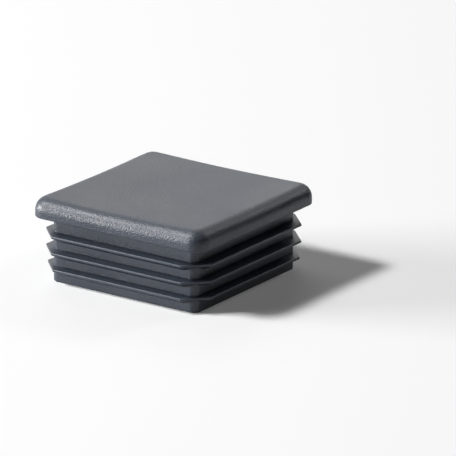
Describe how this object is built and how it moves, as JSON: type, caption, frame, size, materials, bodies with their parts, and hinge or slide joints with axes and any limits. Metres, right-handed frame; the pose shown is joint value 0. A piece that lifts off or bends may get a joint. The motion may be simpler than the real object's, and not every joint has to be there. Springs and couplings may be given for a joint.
{
  "type": "square tube end cap",
  "caption": "Ribbed push-in plastic end cap for a square tube: soft-edged square head on a hollow shank with barbed fins.",
  "frame": {"origin": "centre of the open rim's plane, at the bottom of the part", "axes": "+Z along the cap's axis from the open rim to the head; X and Y square to the sides of the head"},
  "size_m": [0.05, 0.05, 0.0215],
  "materials": {
    "cap_plastic": "fine spark-eroded grain, satin to matte dark grey polyethylene"
  },
  "bodies": {
    "root": {"end_cap": "cap_plastic"}
  },
  "joints": []
}
